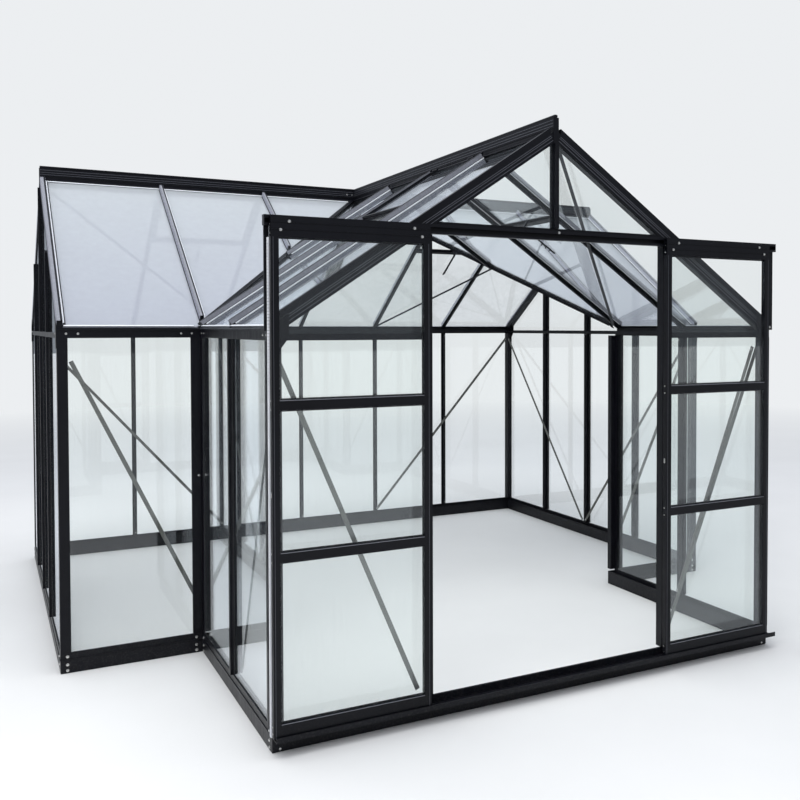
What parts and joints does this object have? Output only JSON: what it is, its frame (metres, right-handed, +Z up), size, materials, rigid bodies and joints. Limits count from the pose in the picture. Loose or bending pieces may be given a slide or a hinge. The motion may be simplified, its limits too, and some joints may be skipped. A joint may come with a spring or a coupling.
{
  "type": "glazed greenhouse with porch",
  "caption": "Glazed garden greenhouse with a crossing porch wing, pitched roofs meeting in valleys, opening roof vents and double sliding doors on an outside track.",
  "frame": {"origin": "on the ground, at the centre of the bounding box's bottom face", "axes": "+Z up, +X along the main house to the right as seen from the doors, -Y out through the doors"},
  "size_m": [3.868, 3.928, 2.567],
  "materials": {
    "black_frame": "satin",
    "clear_glass": "gloss",
    "veiled_roof_glass": "gloss",
    "roller": "matte"
  },
  "bodies": {
    "house": {"back_roof_bars": "black_frame", "back_roof_panes": "veiled_roof_glass", "corner_plates": "black_frame", "corner_posts": "black_frame", "door_guide": "black_frame", "door_header": "black_frame", "door_jambs": "black_frame", "door_track": "black_frame", "eaves_crossways": "black_frame", "eaves_lengthways": "black_frame", "end_wall_panes": "clear_glass", "front_roof_bars": "black_frame", "front_roof_panes": "veiled_roof_glass", "gable_bars": "black_frame", "gable_post": "black_frame", "gable_rafters": "black_frame", "gable_transoms": "black_frame", "long_wall_panes": "clear_glass", "main_ridge": "black_frame", "plinth_crossways": "black_frame", "plinth_lengthways": "black_frame", "porch_front_panes": "clear_glass", "porch_ridge": "black_frame", "porch_roof_bars": "black_frame", "porch_roof_panes": "clear_glass", "porch_side_panes": "clear_glass", "roof_braces": "black_frame", "sill_crossways": "black_frame", "sill_lengthways": "black_frame", "track_struts": "black_frame", "valley_bars": "black_frame", "valley_posts": "black_frame", "vent_frames": "black_frame", "vent_panes": "clear_glass", "vent_rests": "black_frame", "vent_stays": "black_frame", "wall_bars": "black_frame", "wall_braces": "black_frame"},
    "left_door": {"left_door_panes": "clear_glass", "left_door_rails": "black_frame", "left_door_rollers": "roller", "left_door_stiles": "black_frame"},
    "right_door": {"right_door_panes": "clear_glass", "right_door_rails": "black_frame", "right_door_rollers": "roller", "right_door_stiles": "black_frame"}
  },
  "joints": [
    {"name": "left_door_slide", "type": "slide", "parent": "house", "child": "left_door", "axis": [1, 0, 0], "range_m": [0, 0.63]},
    {"name": "right_door_slide", "type": "slide", "parent": "house", "child": "right_door", "axis": [-1, 0, 0], "range_m": [-0.055, 0.575]}
  ]
}
